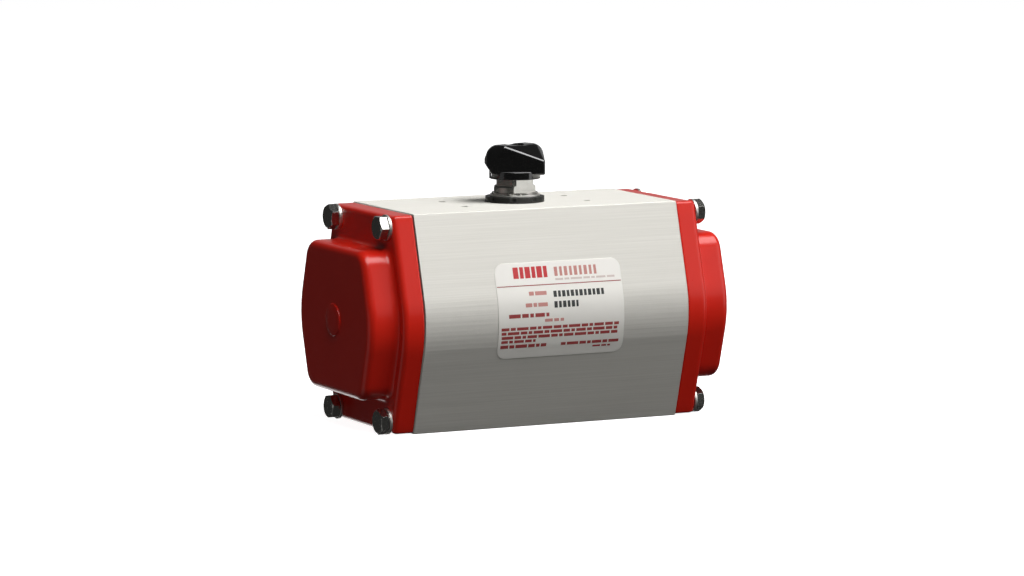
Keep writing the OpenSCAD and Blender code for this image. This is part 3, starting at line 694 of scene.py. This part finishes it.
def camera():
    """Camera that sees the part as in the photo."""
    level = math.cos(CAMERA_ELEVATION)
    back = Vector((math.sin(CAMERA_AZIMUTH) * level, -math.cos(CAMERA_AZIMUTH) * level,
                   math.sin(CAMERA_ELEVATION)))
    data = bpy.data.cameras.new("camera")
    data.lens = CAMERA_LENS
    data.sensor_width = CAMERA_SENSOR
    data.clip_end = CAMERA_CLIP
    obj = new_object("camera", data)
    obj.location = CAMERA_TARGET + back * CAMERA_DISTANCE
    look_at(obj, CAMERA_TARGET)
    bpy.context.scene.camera = obj


def softbox(name, direction, distance, size, radiance):
    """Rectangular light that shines at the object's middle.

    Blender takes a power in watts, which is four times the radiance over the whole area.
    """
    middle = Vector((0, 0, bore_z))
    data = bpy.data.lights.new(name, "AREA")
    data.shape = "RECTANGLE"
    data.size, data.size_y = size
    data.energy = 4 * radiance * size[0] * size[1]
    obj = new_object(name, data)
    obj.location = middle + Vector(direction).normalized() * distance
    obj.visible_camera = False
    look_at(obj, middle)


def sweep():
    """White paper floor that curves up into a wall all round."""
    bm = bmesh.new()
    under = cad_box[0].z - FLOOR_GAP
    rings = [(r, under) for r in (*SWEEP_INNER, SWEEP_R - SWEEP_COVE)]
    rings += [(SWEEP_R - SWEEP_COVE * (1 - math.sin(t)), under + SWEEP_COVE * (1 - math.cos(t)))
              for t in arc(0, math.pi / 2, SWEEP_COVE_STEPS)[1:]]
    rings.append((SWEEP_R, under + SWEEP_H))
    rows = [[bm.verts.new((r * math.cos(a), r * math.sin(a), z))
             for a in arc(0, 2 * math.pi, SWEEP_STEPS)[:-1]] for r, z in rings]
    for a, b in zip(rows, rows[1:]):
        for i in range(SWEEP_STEPS):
            j = (i + 1) % SWEEP_STEPS
            bm.faces.new((a[i], a[j], b[j], b[i]))
    bm.faces.new(rows[0])
    floor = new_object("floor", mesh_of("floor", bm))
    n = Nodes("floor_paper")
    floor.data.materials.append(n.set(
        Base_Color=(0.8, 0.8, 0.8, 1), Roughness=0.9, Specular_IOR_Level=0.0,
        Emission_Color=(1, 1, 1, 1), Emission_Strength=0.95))
    floor.visible_glossy = False
    floor.visible_diffuse = False
    floor.visible_shadow = False


def studio():
    """Plain soft lights and a faint even sky."""
    world = bpy.data.worlds.new("studio")
    bpy.context.scene.world = world
    world.use_nodes = True
    background = world.node_tree.nodes["Background"]
    background.inputs["Color"].default_value = (1, 1, 0.98, 1)
    background.inputs["Strength"].default_value = 0.03
    softbox("key", (0.2, -0.44, 0.88), 1.5, (2.1, 1.0), 4.2)
    softbox("front", (0.6, -0.8, 0.32), 2.2, (1.2, 0.8), 0.55)
    softbox("side", (0.86, -0.49, 0.2), 1.3, (0.9, 0.8), 0.75)
    softbox("back", (0.55, 0.8, 0.33), 2.2, (3.0, 1.4), 0.2)
    softbox("rear", (0.27, 0.88, -0.4), 2.2, (1.9, 1.0), 1.4)
    softbox("bounce", (-0.9, 0.05, -0.4), 1.3, (0.9, 1.4), 0.17)


def dress(material, *names):
    """Gives CAD nodes a material."""
    for name in names:
        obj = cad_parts[name]
        obj.data.materials.clear()
        obj.data.materials.append(material)


bpy.context.scene.view_settings.view_transform = "Standard"
camera()
studio()
sweep()

aluminium = brushed_aluminium()
red = red_paint()
bolt_steel = steel("bolt_steel", (0.60, 0.59, 0.56), 0.20, turned=False)
zinc = steel("zinc_plate", (0.90, 0.89, 0.85), 0.42, turned=False)
shaft_steel = steel("shaft_steel", (0.80, 0.79, 0.74), 0.22)
black_gloss = plastic("black_gloss", (0.003, 0.003, 0.003), (0.006, 0.006, 0.006), 0.16,
                      coat=1.0, ior=1.65)
black_satin = plastic("black_satin", (0.010, 0.011, 0.009), (0.02, 0.021, 0.018), 0.42)
rubber = plastic("nitrile_rubber", (0.012, 0.012, 0.012), (0.02, 0.02, 0.02), 0.62)
acetal = plastic("acetal", (0.78, 0.75, 0.66), (0.84, 0.81, 0.73), 0.38)
cast = cast_aluminium()
film = label_film()
white_ink = plastic("white_ink", (0.91, 0.885, 0.835), (0.95, 0.925, 0.875), 0.34)
red_ink = plastic("red_ink", (0.55, 0.035, 0.04), (0.62, 0.05, 0.055), 0.4)
text_ink = plastic("text_ink", (0.30, 0.05, 0.045), (0.40, 0.07, 0.065), 0.4)
soft_ink = plastic("soft_ink", (0.55, 0.24, 0.21), (0.62, 0.30, 0.27), 0.4)
faint_ink = plastic("faint_ink", (0.66, 0.56, 0.52), (0.70, 0.60, 0.56), 0.4)
dark_ink = plastic("dark_ink", (0.03, 0.032, 0.03), (0.06, 0.062, 0.06), 0.4)

dress(aluminium, "body_extrusion", "air_port_plate")
dress(cast, "left_piston", "right_piston")
dress(bolt_steel, "left_cap_bolts", "right_cap_bolts", "stop_nut_closed", "stop_nut_open",
      "stop_screw_closed", "stop_screw_open", "snap_ring", "indicator_screw", "stop_cam",
      "port_plate_screws")
dress(zinc, "left_cap_washers", "right_cap_washers", "top_washer", "stop_washer_closed",
      "stop_washer_open")
dress(shaft_steel, "pinion")
dress(black_satin, "top_thrust_collar")
dress(rubber, "left_cap_seal", "right_cap_seal", "pinion_upper_oring", "pinion_lower_oring",
      "left_piston_oring", "right_piston_oring", "stop_seal_closed", "stop_seal_open",
      "port_plate_gasket")
dress(acetal, "pinion_upper_bearing", "pinion_lower_bearing", "thrust_washer", "left_guide_band",
      "right_guide_band", "left_rack_wear_pad", "right_rack_wear_pad")
soften(0.3 * MM, "left_cap_bolts", "right_cap_bolts", "stop_nut_closed", "stop_nut_open",
       "indicator_screw", "port_plate_screws", "air_port_plate", "top_thrust_collar")
soften(0.2 * MM, "left_cap_washers", "right_cap_washers", "top_washer", "stop_washer_closed",
       "stop_washer_open", "stop_screw_closed", "stop_screw_open")
end_caps(red)
indicator(black_gloss)
label()
